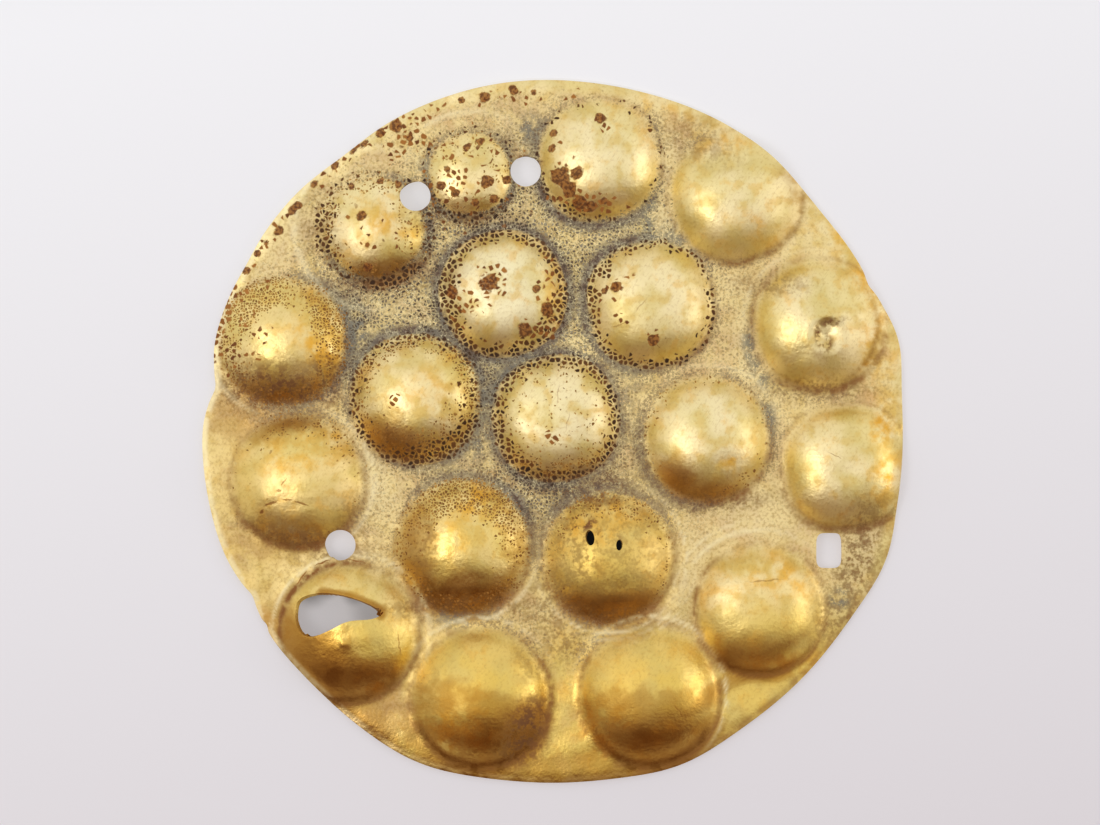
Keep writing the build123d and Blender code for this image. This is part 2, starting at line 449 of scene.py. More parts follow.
def fit_to(outline):
    """Lays the ragged border of a cut hole evenly along its outline, and eases the cells round it."""
    shape = bmesh.new()
    shape.from_mesh(net)
    middle = outline.mean(0)
    reach = np.hypot(*(outline - middle).T).max() + 2 * disc_radius / net_cells
    close = [
        v for v in shape.verts
        if v.is_boundary and math.hypot(v.co.x - middle[0], v.co.y - middle[1]) < reach
    ]
    start = close[0]
    loop, last, now = [start], None, start
    while True:
        last = [e for e in now.link_edges if e.is_boundary and e is not last][0]
        now = last.other_vert(now)
        if now is start:
            break
        loop.append(now)
    ring = np.array([(v.co.x, v.co.y) for v in loop])
    if not anticlockwise(ring):
        loop.reverse()
        ring = ring[::-1]
    path = outline if anticlockwise(outline) else outline[::-1]
    closed = np.vstack([path, path[:1]])
    walked = np.concatenate([[0], np.cumsum(np.hypot(*np.diff(closed, axis=0).T))])
    shares = np.arange(len(loop)) / len(loop)
    best = None
    for offset in np.linspace(0, 1, 4 * len(loop), endpoint=False):
        at = ((shares + offset) % 1) * walked[-1]
        spots = np.stack([np.interp(at, walked, closed[:, i]) for i in (0, 1)], 1)
        miss = ((spots - ring) ** 2).sum()
        if best is None or miss < best[0]:
            best = (miss, spots)
    for vertex, spot in zip(loop, best[1]):
        vertex.co.x, vertex.co.y = spot
    easing = {e.other_vert(vertex) for vertex in loop for e in vertex.link_edges}
    for _ in range(eased_rows - 1):
        easing.update(e.other_vert(v) for v in list(easing) for e in v.link_edges)
    easing = sorted((v for v in easing if not v.is_boundary), key=lambda v: v.index)
    for _ in range(easing_rounds):
        for vertex in easing:
            around = [e.other_vert(vertex).co for e in vertex.link_edges]
            vertex.co = vertex.co.lerp(sum(around, Vector()) / len(around), 0.5)
    shape.to_mesh(net)
    shape.free()


# Finer cells round the pricks, the dent, the tear and the thread holes, for their lips. Then the
# cells inside each outline go, and the border is laid along it
finer_beside = 0.8 * MM
eased_rows = 3  # rows of cells round a hole that are evened out
easing_rounds = 12
dent_cells = oval(*boss_place(DENTED_BOSS, 0.12, -0.17), 2 * MM, 2 * MM)
for outline in [*holes(), dent_cells]:
    middle = outline.mean(0)
    half = np.abs(outline - middle).max(0) + finer_beside
    x, y = face_centres()
    edit_faces((np.abs(x - middle[0]) < half[0]) & (np.abs(y - middle[1]) < half[1]))
    bpy.ops.mesh.subdivide(number_cuts=1, quadcorner="INNERVERT")
    bpy.ops.object.mode_set(mode="OBJECT")

for outline in holes():
    edit_faces(inside(outline, *face_centres()))
    bpy.ops.mesh.delete(type="FACE")
    bpy.ops.object.mode_set(mode="OBJECT")
    fit_to(outline)

# Raising the bosses. The field is part of a great hollow ball, and a boss leaves it in a wide
# hollow curve. What is soft is the height over which two forms run into each other
field_radius = (disc_radius**2 + crown**2) / (2 * crown)
foot_softness = 0.75 * MM
boss_sunk = 0.6  # part of a boss's full form that stays under the field, which steepens its foot
flank_start = 0.93  # share of the dome from where a boss's side goes straight down
dome_part = 0.97  # share of the foot that the dome itself takes up


def eased(value, low, high):
    """0 below low, 1 above high, and a soft step between."""
    share = np.clip((value - low) / (high - low), 0, 1)
    return share * share * (3 - 2 * share)


def uneven(x, y, size, seed):
    """Soft unevenness of about 1 up and down, with humps about size apart."""
    chance = np.random.default_rng(seed)
    total = np.zeros_like(x)
    waves = 20
    for _ in range(waves):
        turn, phase = chance.uniform(0, 2 * math.pi, 2)
        step = 2 * math.pi / (size * chance.uniform(0.7, 1.6))
        total = total + np.sin((x * math.cos(turn) + y * math.sin(turn)) * step + phase)
    return total / math.sqrt(waves / 2)


def blend_up(one, other, soft):
    """The higher of two heights, run together where they meet."""
    near = np.maximum(soft - np.abs(one - other), 0) / soft
    return np.maximum(one, other) + near**2 * soft / 4


def around_boss(boss, x, y):
    """Distance from a boss's middle as a share of its foot there, and the bearing in degrees."""
    middle_x, middle_y = boss_place(boss)
    along, aside = leaned(x - middle_x, y - middle_y, boss.turn)
    reach = (np.abs(along) ** boss.square + np.abs(aside) ** boss.square) ** (1 / boss.square)
    return reach / (boss.foot * boss_radius), bearing_of(x - middle_x, y - middle_y)


def dome(boss, x, y):
    """Height of one boss over the field, going on straight down beyond its foot."""
    share = around_boss(boss, x, y)[0] / dome_part
    grown = (1 - boss_sunk**2) ** (1 / boss.round)

    def full(at):
        return (np.sqrt(1 - (at * grown) ** boss.round) - boss_sunk) / (1 - boss_sunk)

    step = 0.001
    slope = (full(flank_start) - full(flank_start - step)) / step
    rest = full(flank_start) + slope * (share - flank_start)
    shaped = np.where(share < flank_start, full(np.minimum(share, flank_start)), rest)
    return shaped * boss.rise * boss_height


# Creases and low ridges that the tools left round the feet. Columns: where each lies as a share
# of the foot, the bearing it faces and how far it runs to both sides, in degrees, its height in
# mm, below 0 for a groove, and its width as a share of the foot
Ring = namedtuple("Ring", "boss at toward spread height width")
RINGS = [
    Ring(OUTER[5], 1.22, 115, 60, 0.12, 0.07),
    Ring(TORN_BOSS, 1.10, 120, 70, 0.14, 0.05),
    Ring(OUTER[9], 1.14, 10, 60, 0.11, 0.06),
    Ring(PRICKED_BOSS, 1.17, -100, 60, 0.09, 0.05),
    Ring(PRICKED_BOSS, 1.28, -60, 60, 0.06, 0.05),
    Ring(INNER[4], 1.14, -60, 45, 0.10, 0.05),
    Ring(OUTER[7], 1.14, 95, 50, 0.09, 0.05),
    Ring(OUTER[6], 1.12, 75, 60, 0.10, 0.05),
    Ring(OUTER[6], 1.10, 0, 35, 0.08, 0.05),
    Ring(DENTED_BOSS, 1.15, 150, 50, 0.07, 0.06),
    Ring(INNER[2], 1.18, 60, 50, 0.06, 0.07),
    Ring(OUTER[11], 1.38, 165, 95, 0.10, 0.10),
    Ring(OUTER[0], 1.35, 110, 60, 0.08, 0.10),
    Ring(OUTER[5], 0.62, 75, 40, -0.07, 0.05),
    Ring(OUTER[5], 1.36, 130, 50, 0.07, 0.05),
    Ring(PRICKED_BOSS, 1.20, 10, 45, 0.09, 0.05),
    Ring(OUTER[10], 1.20, -150, 40, 0.07, 0.06),
    Ring(TORN_BOSS, 1.16, 30, 50, 0.10, 0.05),
    Ring(PRICKED_BOSS, 1.36, -35, 40, 0.06, 0.05),
]

# Pits, bumps and scars. Columns: place in shares of disc_radius, length and width in mm, the
# bearing of the length, and the height in mm
Mark = namedtuple("Mark", "x y length width lean height")
MARKS = [
    Mark(-0.715, -0.205, 1.9, 0.25, 8, -0.05),
    Mark(-0.785, -0.195, 1.3, 0.25, 20, -0.05),
    Mark(-0.445, 0.087, 0.28, 0.28, 0, -0.08),
    Mark(-0.179, 0.42, 0.6, 0.5, 0, -0.07),
    Mark(0.495, -0.085, 0.9, 0.7, 0, -0.08),
    Mark(0.58, 0.738, 0.35, 0.3, 0, -0.08),
    Mark(-0.587, -0.598, 0.45, 0.35, 0, 0.12),
    Mark(-0.865, 0.175, 0.9, 0.25, -50, 0.10),
    Mark(0.36, -0.79, 1.1, 0.12, -58, -0.05),
    Mark(0.83, -0.065, 1.4, 0.12, -28, -0.04),
    Mark(0.215, 0.79, 0.6, 0.2, 60, -0.05),
    Mark(-0.136, -0.736, 1.7, 1.3, 40, -0.11),
    Mark(-0.23, -0.84, 1.6, 1.0, 0, -0.07),
    Mark(0.20, -0.86, 1.4, 0.9, -45, -0.10),
    Mark(0.29, -0.73, 1.9, 1.3, 10, -0.12),
    Mark(0.62, -0.47, 2.2, 1.5, 0, -0.10),
    Mark(-0.80, -0.185, 1.1, 0.8, 0, 0.07),
    Mark(-0.69, -0.09, 1.6, 1.1, 0, -0.07),
    Mark(-0.62, -0.70, 1.6, 0.9, -30, -0.08),
    Mark(0.52, 0.62, 1.6, 1.2, 30, -0.05),
    Mark(0.17, -0.42, 1.6, 1.0, 0, -0.05),
    Mark(-0.24, -0.41, 1.5, 0.8, 0, -0.05),
    Mark(0.86, -0.08, 1.8, 1.4, 60, -0.07),
]

lip_width = 0.045  # share of disc_radius over which the edge is turned down
lip_drop = 0.08 * MM
dent_depth = 0.42 * MM
dent_brim = 0.05 * MM
dent_pit = 0.20 * MM
torn_lip = 0.5 * MM  # how far the tear's lips are bent
curled_lip = 1.1 * MM  # how far the lower one is wrinkled

# The hammered sheet's unevenness. Columns: how far its humps are apart and how high they are, in
# mm, and the seed that it is drawn from
Uneven = namedtuple("Uneven", "size height seed")
WAVY = Uneven(9, 0.035, 3)
HAMMERED = Uneven(2.6, 0.013, 5)
GRAINY = Uneven(1.1, 0.0035, 6)
WRINKLED = Uneven(0.9, 0.008, 8)


def waved(wave, x, y):
    """Height of one unevenness."""
    return uneven(x, y, wave.size * MM, wave.seed) * wave.height * MM


def line_round(ring, width, x, y):
    """1 along a line round a boss's foot, fading at its sides and its ends."""
    share, bearing = around_boss(ring.boss, x, y)
    return bell((share - ring.at) / width) * facing(bearing, ring.toward, ring.spread)


def off_points(points, x, y):
    """Distance from the nearest of some points."""
    return np.min([np.hypot(x - at_x, y - at_y) for at_x, at_y in points], axis=0)


def worked_height(x, y):
    """Height of the front face over the field's middle, with all that is worked into it."""
    height = waved(WAVY, x, y)
    for boss in BOSSES:
        height = blend_up(height, dome(boss, x, y), foot_softness)
    for ring in RINGS:
        height = height + line_round(ring, ring.width, x, y) * ring.height * MM
    for mark in MARKS:
        along, aside = leaned(x - mark.x * disc_radius, y - mark.y * disc_radius, mark.lean)
        pressed = np.exp(-((along / (mark.length * MM)) ** 4) - (aside / (mark.width * MM)) ** 2)
        height = height + pressed * mark.height * MM
    dent_x, dent_y = boss_place(DENTED_BOSS, *dent_at)
    upper = facing(bearing_of(x - dent_x, y - dent_y), 115, 75)
    away = np.hypot(x - dent_x, y - dent_y) / dent_radius
    height = height - dent_depth * (1 - eased(away, 0.60 * upper, 1.0))
    height = height + dent_brim * bell((away - 1.15) / 0.20)
    off_pit = np.hypot((x - dent_x + 0.20 * MM) / 0.50, (y - dent_y + 0.25 * MM) / 0.7) / MM
    height = height - dent_pit * bell(off_pit)
    height = height + waved(HAMMERED, x, y) + waved(GRAINY, x, y)
    off_tear = off_points(tear_outline(), x, y)
    lower_lip = 1 - eased(y - boss_place(TORN_BOSS, *tear_at)[1], -0.8 * MM, 0.4 * MM)
    height = height + (0.11 * lower_lip - 0.05) * MM * bell(off_tear / torn_lip)
    height = height + waved(WRINKLED, x, y) * lower_lip * bell(off_tear / curled_lip)
    bearing = bearing_of(x, y)
    out = np.hypot(x, y) / (disc_radius * edge_share(bearing))
    lip = lip_drop * (0.6 + 1.2 * facing(bearing, -120, 50))
    height = height - lip * eased(out, 1 - lip_width, 1.0) ** 2
    return height + np.sqrt(field_radius**2 - x**2 - y**2) - field_radius


places = net_places()
places[:, 2] = worked_height(places[:, 0], places[:, 1])
move_net(places)

# Where dirt, tarnish and wear lie, and where shade, shadow and highlights are painted. Each is kept
# in the mesh as a value from 0 to 1, which the material breaks up into grains and flakes.
# The cracked dark skin that is left round the bosses' shoulders. Columns: inner and outer are
# shares of the foot, around is how much there is on all sides, extra is how much more there is
# toward a bearing, over spread to both sides in degrees, and extra_inner is where that begins
Skin = namedtuple("Skin", "boss inner outer around toward spread extra extra_inner")
COARSE_SKIN = [
    Skin(CENTRE, 0.86, 1.05, 0.85, -155, 70, 1.0, 0.78),
    Skin(INNER[0], 0.86, 1.05, 0.85, 190, 60, 1.0, 0.74),
    Skin(INNER[0], 0.86, 1.05, 0.35, -45, 65, 1.0, 0.78),
    Skin(INNER[1], 0.88, 1.03, 0.60, 160, 38, 1.0, 0.80),
    Skin(INNER[1], 0.90, 1.03, 0.30, -130, 55, 0.9, 0.86),
    Skin(INNER[5], 0.86, 1.04, 0.60, -65, 75, 0.95, 0.70),
    Skin(OUTER[11], 0.86, 1.05, 0.30, 178, 45, 0.8, 0.70),
    Skin(OUTER[11], 0.86, 1.05, 0.25, -70, 60, 0.9, 0.80),
    Skin(OUTER[0], 0.88, 1.06, 0.30, -80, 70, 0.6, 0.78),
    Skin(OUTER[1], 0.90, 1.06, 0.25, -125, 50, 0.7, 0.84),
]
FINE_SKIN = [
    Skin(INNER[5], 0.70, 1.00, 0.45, -70, 80, 0.5, 0.45),
    Skin(OUTER[10], 0.70, 1.05, 0.50, 125, 60, 0.9, 0.50),
    Skin(OUTER[10], 0.70, 1.00, 0.10, 25, 45, 0.8, 0.50),
    Skin(INNER[4], 0.74, 1.02, 0.45, 80, 75, 1.0, 0.50),
    Skin(PRICKED_BOSS, 0.80, 1.02, 0.25, 100, 60, 0.5, 0.60),
    Skin(OUTER[11], 0.60, 1.00, 0.30, 20, 60, 0.3, 0.40),
    Skin(CENTRE, 0.50, 1.00, 0.20, -90, 60, 0.5, 0.60),
    Skin(CENTRE, 0.05, 1.00, 0.10, 90, 60, 0.15, 0.05),
    Skin(OUTER[9], 0.10, 1.00, 0.03, 60, 50, 0.22, 0.60),
    Skin(OUTER[9], 0.86, 1.06, 0.10, 85, 60, 0.4, 0.70),
    Skin(INNER[2], 0.86, 1.03, 0.20, -60, 60, 0.3, 0.75),
    Skin(OUTER[0], 0.30, 1.00, 0.22, 90, 60, 0.2, 0.30),
]

# Brown lines round the feet, partly dirt in the creases and partly painted shade. Columns as for the
# rings, with the strength last
foot_line_width = 0.05  # share of the foot
FootLine = namedtuple("FootLine", "boss at toward spread strength")
FOOT_LINES = [
    FootLine(OUTER[2], 1.00, -80, 60, 0.9),
    FootLine(OUTER[2], 1.02, -10, 35, 0.5),
    FootLine(DENTED_BOSS, 0.99, -60, 60, 0.8),
    FootLine(DENTED_BOSS, 0.88, -20, 45, 0.6),
    FootLine(DENTED_BOSS, 1.03, 180, 35, 0.8),
    FootLine(OUTER[4], 0.99, -90, 60, 0.8),
    FootLine(OUTER[5], 1.00, 180, 70, 0.8),
    FootLine(OUTER[5], 1.00, -80, 60, 0.7),
    FootLine(OUTER[6], 1.00, 150, 60, 0.6),
    FootLine(OUTER[6], 1.02, 0, 40, 0.6),
    FootLine(OUTER[7], 1.01, 10, 60, 0.9),
    FootLine(OUTER[7], 1.00, 150, 60, 0.5),
    FootLine(TORN_BOSS, 0.99, 135, 75, 1.2),
    FootLine(TORN_BOSS, 1.02, -30, 50, 0.7),
    FootLine(OUTER[9], 0.98, -90, 80, 0.9),
    FootLine(INNER[2], 1.01, -60, 60, 0.7),
    FootLine(PRICKED_BOSS, 1.01, -90, 90, 0.8),
    FootLine(INNER[4], 1.01, -100, 90, 0.8),
    FootLine(INNER[1], 1.02, -40, 70, 0.7),
    FootLine(OUTER[10], 1.02, -60, 90, 0.8),
]

# Single rust spots. Columns: the middle and the radius, in thousandths of disc_radius
Spot = namedtuple("Spot", "x y radius")
RUST_SPOTS = [
    Spot(-444, 873, 16),
    Spot(-490, 856, 11),
    Spot(-536, 824, 11),
    Spot(-570, 801, 9),
    Spot(-621, 761, 9),
    Spot(-679, 710, 9),
    Spot(-724, 647, 11),
    Spot(-744, 630, 11),
    Spot(-779, 576, 13),
    Spot(-816, 541, 10),
    Spot(-841, 510, 10),
    Spot(-873, 461, 9),
    Spot(-405, 841, 10),
    Spot(-190, 956, 16),
    Spot(-112, 976, 12),
    Spot(-53, 970, 10),
    Spot(-259, 947, 9),
    Spot(23, 724, 25),
    Spot(70, 738, 16),
    Spot(46, 688, 19),
    Spot(81, 652, 16),
    Spot(111, 640, 14),
    Spot(146, 656, 10),
    Spot(5, 853, 12),
    Spot(-1, 809, 11),
    Spot(138, 894, 14),
    Spot(-185, 713, 16),
    Spot(-241, 812, 11),
    Spot(-206, 828, 11),
    Spot(-299, 748, 11),
    Spot(-317, 700, 12),
    Spot(-276, 677, 11),
    Spot(-221, 654, 12),
    Spot(-168, 665, 11),
    Spot(-129, 716, 11),
    Spot(-178, 425, 23),
    Spot(-13, 350, 16),
    Spot(-76, 291, 18),
    Spot(-47, 407, 11),
    Spot(-284, 400, 15),
    Spot(182, 414, 12),
    Spot(147, 400, 10),
    Spot(287, 261, 14),
    Spot(-571, 699, 11),
    Spot(-541, 612, 13),
    Spot(-489, 715, 10),
    Spot(-438, 705, 11),
    Spot(-525, 469, 12),
]

# Patches. Columns: x and y of the middle, and half the length and width, in hundredths of
# disc_radius, the bearing of the length in degrees, and how strong the patch is, in hundredths
Patch = namedtuple("Patch", "x y length width lean strength")
GREY_DIRT = [
    Patch(-14, 42, 62, 42, 15, 75),
    Patch(-10, -8, 55, 25, 10, 45),
    Patch(28, 50, 6, 24, -12, 50),
    Patch(55, 12, 10, 30, 12, 35),
    Patch(83, -45, 13, 24, -22, 15),
    Patch(-5, -14, 16, 12, 30, 75),
    Patch(-62, 16, 24, 12, 20, 45),
    Patch(-60, 72, 26, 10, 45, 30),
    Patch(-2, -57, 20, 10, 0, 30),
    Patch(30, -15, 20, 16, 0, 35),
]
BROWN_DIRT = [
    Patch(-78, 12, 19, 7, -5, 100),
    Patch(-66, 15, 8, 5, 40, 90),
    Patch(-50, 43, 18, 4.5, 5, 80),
    Patch(-40, 46, 8, 4, 30, 80),
    Patch(-66, 56, 5, 12, 10, 45),
    Patch(-25, 61, 14, 3.5, 0, 70),
    Patch(46, -20, 14, 3, 5, 70),
    Patch(18, -53, 18, 3.5, 0, 60),
    Patch(-25, -50, 20, 3.5, 0, 70),
    Patch(-70, -31, 20, 4, -15, 70),
    Patch(-56, -25, 5, 8, 0, 40),
    Patch(75, 12, 16, 3, 0, 60),
    Patch(-8, -88, 6, 7, -30, 90),
    Patch(40, 83, 12, 5, -25, 40),
    Patch(62, 42, 10, 3, 0, 50),
    Patch(16, -36, 20, 20, 0, 30),
    Patch(7, -33, 6, 14, 20, 50),
    Patch(-36, -32, 4, 14, 0, 40),
    Patch(10, -26.2, 3, 1.5, 25, 100),
    Patch(13.2, -29.5, 1.2, 3, 0, 80),
    Patch(19, -30, 1.2, 2.5, 0, 50),
    Patch(75.5, 27.2, 3.2, 1.1, 100, 100),
    Patch(79, 31.2, 3.6, 1.1, 12, 100),
    Patch(77.5, 25, 2.4, 1.8, 60, 100),
    Patch(9, -15.5, 13, 6, 0, 100),
    Patch(87, -36, 6, 16, -15, 75),
    Patch(84, -50, 7, 12, -30, 60),
    Patch(0, -50, 10, 10, 0, 55),
    Patch(5, -60, 8, 5, 0, 55),
    Patch(-5, -62, 5, 8, 0, 40),
    Patch(-7, -84, 5.5, 8.5, -25, 100),
]
CREAM_DIRT = [
    Patch(-52, -12, 16, 7, -60, 100),
    Patch(-60, -40, 10, 5, 20, 50),
    Patch(34, 74, 4, 14, 10, 90),
    Patch(35, 58, 6, 13, 20, 100),
    Patch(86, -44, 10, 22, -22, 80),
    Patch(52, 42, 10, 8, -20, 60),
    Patch(56, 20, 3.5, 20, 12, 70),
    Patch(60, 8, 10, 5, 0, 50),
    Patch(60, -22, 16, 8, 0, 70),
    Patch(40, -36, 6, 14, 0, 60),
    Patch(42, -52, 8, 8, 0, 50),
    Patch(-4, -56, 10, 6, 0, 30),
    Patch(-36, 28, 7, 5, 30, 50),
    Patch(-62, 10, 8, 6, 0, 40),
    Patch(6, 55, 10, 5, 20, 40),
    Patch(10, 24, 5, 14, -30, 50),
    Patch(-80, 50, 6, 22, -32, 60),
    Patch(-62, 66, 20, 5, 45, 50),
]
BLUE_DIRT = [
    Patch(-19, 9, 16, 5, 62, 90),
    Patch(-10, 18, 12, 6, 0, 80),
    Patch(-56, 29, 5, 12, 0, 100),
    Patch(27.5, 60, 2, 24, -4, 90),
    Patch(36, 54, 8, 3.5, -30, 80),
    Patch(-6, 86, 5, 5, 0, 90),
    Patch(-34, 74.5, 5, 4, 0, 90),
    Patch(56, 24.5, 2, 6, 0, 90),
    Patch(59, 17, 2, 5, 25, 90),
    Patch(61.5, 4, 2.5, 6, 10, 90),
    Patch(11, -15, 9, 5, 10, 30),
    Patch(-28, -3, 20, 5, 5, 90),
    Patch(-28, -53, 7, 3, -10, 70),
    Patch(20, 10, 5, 14, -20, 60),
    Patch(-30, 30, 5, 14, -25, 70),
    Patch(82, -47.5, 3, 3, 0, 90),
    Patch(-20, -5, 8, 5, 0, 60),
]
DARK_DIRT = [
    Patch(-21, 25, 16, 5, -20, 60),
    Patch(-58, 29, 5, 12, 0, 80),
    Patch(-10, 84, 8, 3.5, 20, 90),
    Patch(29.5, 80, 2.5, 12, -4, 80),
    Patch(-37, 66, 4, 5, 0, 90),
    Patch(10, -16, 14, 6, 5, 100),
    Patch(76, 10, 12, 3, 0, 70),
    Patch(-5, -30, 3, 10, 10, 80),
    Patch(-2, 52, 5, 3, -30, 70),
    Patch(7, 50, 10, 3, -10, 60),
    Patch(-27, -52, 12, 3, 0, 70),
    Patch(55, 23.5, 1.5, 7, 5, 90),
    Patch(61, 3, 2, 6, 15, 80),
    Patch(26.5, -8, 3, 12, 25, 90),
    Patch(44, -21, 14, 2, 0, 80),
    Patch(82, -50, 10, 6, -30, 80),
    Patch(-52, 2, 10, 2, -35, 70),
    Patch(-42, -7, 14, 3, -10, 80),
    Patch(-18, -12, 5, 6, 0, 60),
]
PALE_WEAR = [
    Patch(-14, 40, 15, 14, 0, 100),
    Patch(1, 4, 15, 14, 0, 65),
    Patch(29, 38, 14, 12, 0, 45),
    Patch(46, 4, 13, 10, 0, 45),
    Patch(52, 67, 16, 14, 0, 35),
    Patch(76, 32, 15, 14, 0, 30),
    Patch(84, -9, 12, 12, 0, 20),
    Patch(-54, 66, 20, 10, 30, 35),
    Patch(14, 80, 12, 12, 0, 45),
]
DULL_WEAR = [
    Patch(-14, 40, 20, 19, 0, 100),
    Patch(1, 4, 20, 19, 0, 100),
    Patch(28, 36, 20, 19, 0, 90),
    Patch(44, -2, 20, 19, 0, 60),
    Patch(52, 66, 21, 21, 0, 35),
    Patch(76, 30, 21, 20, 0, 30),
    Patch(83, -10, 18, 19, 0, 35),
    Patch(59, -50, 20, 20, 0, 70),
    Patch(16, -34, 20, 18, 0, 70),
    Patch(-72, -10, 20, 20, 0, 60),
    Patch(-76, 30, 18, 14, 0, 30),
    Patch(13, 78, 18, 18, 0, 50),
    Patch(66, 66, 8, 16, 0, 150),
    Patch(90, 29, 8, 16, 0, 170),
    Patch(-62, -14, 7, 14, 0, 120),
    Patch(-39, 10, 18, 18, 0, 40),
    Patch(-55, 60, 16, 14, 0, 80),
    Patch(-93, -18, 8, 40, 4, 200),
    Patch(-84, -45, 10, 20, 30, 180),
    Patch(52, 53, 15, 7, 0, 110),
    Patch(77, 17, 15, 7, 0, 90),
    Patch(84, -23, 13, 6, 0, 80),
    Patch(21, -71, 9, 10, 0, 130),
    Patch(-27, -71, 9, 10, 0, 130),
]
RICH_GOLD = [
    Patch(28, -75, 24, 23, 0, 100),
    Patch(-20, -76, 24, 23, 0, 100),
    Patch(-60, -62, 22, 20, -20, 90),
    Patch(16, -36, 19, 19, 0, 90),
    Patch(-25, -33, 19, 19, 0, 60),
    Patch(0, -95, 66, 12, 0, 100),
    Patch(61, -70, 30, 16, 42, 100),
    Patch(4, -76, 12, 24, 0, 100),
    Patch(0, -58, 20, 8, 0, 50),
    Patch(-88, -30, 12, 50, -5, 50),
    Patch(-72, -14, 17, 17, 0, 40),
    Patch(-76, 25, 17, 16, 0, 40),
]
# Brown stains, with painted shade where the sheet turns down at the lower left and along the bottom
BROWN_STAIN_AND_SHADE = [
    Patch(39.5, 87, 9, 5, 0, 70),
    Patch(-81, 6, 20, 9, 5, 90),
    Patch(-81, -32, 18, 6, 0, 60),
    Patch(57, 43, 5, 5, 0, 70),
    Patch(70, 70, 8, 5, -50, 50),
    Patch(85, -20, 12, 5, 0, 30),
    Patch(-8, -83, 5, 7, 0, 100),
    Patch(16, -51, 16, 5, 5, 80),
    Patch(-25, -49, 16, 5, 5, 80),
    Patch(-66, -73, 26, 13, -46, 160),
    Patch(-76, -62, 13, 8, -55, 160),
    Patch(-7, -86, 5, 9, -20, 140),
    Patch(-22, -92, 16, 6, 0, 120),
    Patch(21, -92, 18, 6, 8, 100),
    Patch(-21, -78, 17, 6, -14, 75),
    Patch(27, -77, 15, 5, 0, 65),
    Patch(52, -70, 20, 3, 35, 80),
    Patch(-58, -74, 14, 10, -30, 160),
    Patch(-45, -82, 14, 8, -38, 50),
    Patch(5, -97, 60, 6, 0, 75),
    Patch(-33, -88, 20, 6, -20, 80),
    Patch(36, -90, 20, 6, 22, 60),
    Patch(-46, 45, 12, 5, 5, 70),
    Patch(-62, 25, 5, 12, 10, 90),
    Patch(-47, -2, 10, 8, -30, 80),
    Patch(-27, 7, 5, 10, 0, 50),
    Patch(35, -13, 6, 7, 0, 80),
    Patch(-39, -32, 6, 14, 0, 70),
    Patch(-10, -32, 5, 14, 0, 50),
    Patch(60, -66, 14, 5, -12, 50),
    Patch(43, -18, 14, 4, 5, 60),
    Patch(25, -94, 22, 5, 10, 50),
]
ORANGE = [
    Patch(88, 47, 18, 5, -58, 80),
    Patch(95, -2, 4, 24, 0, 80),
    Patch(92, 22, 3.5, 12, -10, 90),
    Patch(60, 56, 10, 4, -30, 30),
    Patch(-66, 30, 5, 12, 10, 100),
    Patch(-50, 60, 6, 5, 0, 70),
    Patch(-40, 56, 3, 3, 0, 80),
    Patch(-19, -20, 6, 14, -35, 90),
    Patch(17, -25, 16, 6, 0, 70),
    Patch(60, -40, 16, 7, 0, 45),
    Patch(67, -39, 3, 3, 0, 70),
    Patch(-69, -4, 14, 5, 10, 80),
    Patch(-28, -85, 13, 8, -20, 100),
    Patch(15, -86, 12, 7, -35, 100),
    Patch(62, -64, 16, 5, -5, 80),
    Patch(33, -86, 8, 4, 0, 70),
    Patch(-50, -71, 8, 6, 0, 70),
    Patch(5, -72, 6, 14, 0, 50),
    Patch(38, 87, 16, 5, -20, 50),
    Patch(-78, -28, 8, 8, 0, 40),
    Patch(50, -8, 5, 4, 0, 60),
    Patch(-12, 57, 20, 4, 0, 40),
    Patch(2, 40, 4, 14, 0, 70),
    Patch(-33, 12, 8, 16, 0, 30),
    Patch(-64, 24, 6, 14, 10, 100),
]
RUST_FLECKS = [
    Patch(-80, 58, 30, 2.2, 52, 42),
    Patch(-93, 33, 16, 2.5, 72, 60),
    Patch(-88, 28, 13, 6, 72, 35),
    Patch(-44, 87, 12, 2.2, 28, 45),
    Patch(-41, 83, 7, 3.5, 28, 60),
    Patch(-60, 77.5, 12, 2, 40, 42),
    Patch(-10, 95, 20, 2.5, 5, 32),
    Patch(-23.5, 73.5, 14, 13, 0, 24),
    Patch(-19, 70, 3, 3, 0, 30),
    Patch(-23.5, 66, 13, 3, 0, 50),
    Patch(3, 73, 4, 7, -20, 35),
    Patch(4, 80, 4, 5, 0, 35),
    Patch(10, 65.5, 10, 2.8, -8, 55),
    Patch(2, 70, 5, 5, -30, 30),
    Patch(-28, 73, 3, 8, 0, 60),
    Patch(-70, 69, 30, 1.6, 47, 35),
    Patch(14, 88, 3, 2, -40, 70),
    Patch(-17.8, 42.4, 4.5, 4.5, 0, 70),
    Patch(17, 40, 7, 3, 40, 35),
    Patch(-52, 60, 12, 10, 0, 16),
    Patch(19, 32, 3, 2, 0, 50),
    Patch(-1, 38, 3, 10, 0, 55),
    Patch(-3.5, 30, 5, 3.5, 40, 70),
    Patch(-25, 37, 4, 6, 0, 55),
    Patch(28, 26.5, 3.5, 2, 30, 30),
    Patch(0, -1.2, 2.5, 2, 0, 75),
    Patch(-44.4, 9, 2, 2, 0, 80),
]
CLEAN_RUB = [
    Patch(62, -70, 28, 12, 42, 95),
    Patch(5, -92, 40, 8, 0, 90),
    Patch(-35, -92, 30, 6, -25, 90),
    Patch(0, -80, 6, 20, 0, 60),
    Patch(-93, 2, 5, 12, 0, 30),
    Patch(75, 55, 25, 10, -52, 50),
]


def patches(table, x, y):
    """Strength of a table's patches, as they lie over each other."""
    total = np.zeros_like(x)
    for patch in table:
        hundredth = disc_radius / 100
        along, aside = leaned(x / hundredth - patch.x, y / hundredth - patch.y, patch.lean)
        reach = np.hypot(along / patch.length, aside / patch.width)
        total = np.maximum(total, patch.strength / 100 * np.exp(-0.7 * reach**3))
    return total


